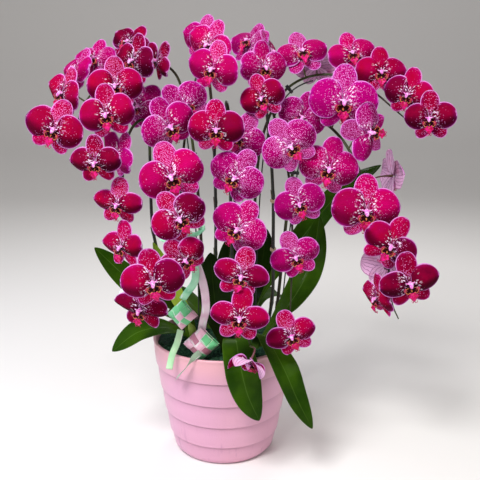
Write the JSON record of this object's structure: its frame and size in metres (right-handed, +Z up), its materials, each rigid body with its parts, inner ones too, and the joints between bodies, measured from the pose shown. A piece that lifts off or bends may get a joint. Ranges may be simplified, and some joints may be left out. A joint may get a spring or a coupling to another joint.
{
  "type": "potted orchid",
  "caption": "Potted moth-type orchid with arching wired sprays of magenta blooms, strap leaves, woven ribbon pouches and a round pot with stepped bands.",
  "frame": {"origin": "middle of the pot's flat base, on the surface that it stands on", "axes": "+Z up along the pot's axis; -Y is the front that the two pouches and most blooms face; +X is to the right as seen from the front"},
  "size_m": [0.6162, 0.3861, 0.6993],
  "materials": {
    "pot": "satin",
    "medium": "rough",
    "moss": "rough",
    "petal": "velvety satin",
    "petal_back": "matte",
    "lip": "waxy",
    "stem": "satin",
    "leaf": "glossy",
    "leaf_young": "glossy",
    "wire": "satin",
    "clip_black": "satin",
    "clip_beige": "satin",
    "pouch_pink": "satin",
    "pouch_green": "satin",
    "ribbon_green": "satin",
    "ribbon_pink": "satin",
    "tail_mint": "satin",
    "tail_sage": "satin",
    "tail_white": "satin"
  },
  "bodies": {
    "root": {"pot": "pot", "growing_medium": "medium", "moss": "moss", "spray_upper_left": "petal", "wire_upper_left": "wire", "clip_upper_left_1": "clip_black", "spray_lower_left": "petal", "wire_lower_left": "wire", "clip_lower_left_1": "clip_black", "spray_centre_left": "petal", "wire_centre_left": "wire", "clip_centre_left_1": "clip_black", "spray_centre": "petal", "wire_centre": "wire", "clip_centre_1": "clip_black", "spray_centre_right": "petal", "wire_centre_right": "wire", "clip_centre_right_1": "clip_beige", "clip_centre_right_2": "clip_beige", "spray_right": "petal", "wire_right": "wire", "clip_right_1": "clip_black", "spray_far_right": "petal", "wire_far_right": "wire", "clip_far_right_1": "clip_black", "leaves_left": "leaf", "leaves_front": "leaf", "leaves_right": "leaf", "leaves_back_left": "leaf", "leaves_back_right": "leaf", "pouch_upper": "pouch_pink", "pouch_lower": "pouch_pink", "ribbon_green": "ribbon_green", "ribbon_pink": "ribbon_pink", "tail_mint": "tail_mint", "tail_sage": "tail_sage", "tail_white": "tail_white"}
  },
  "joints": []
}
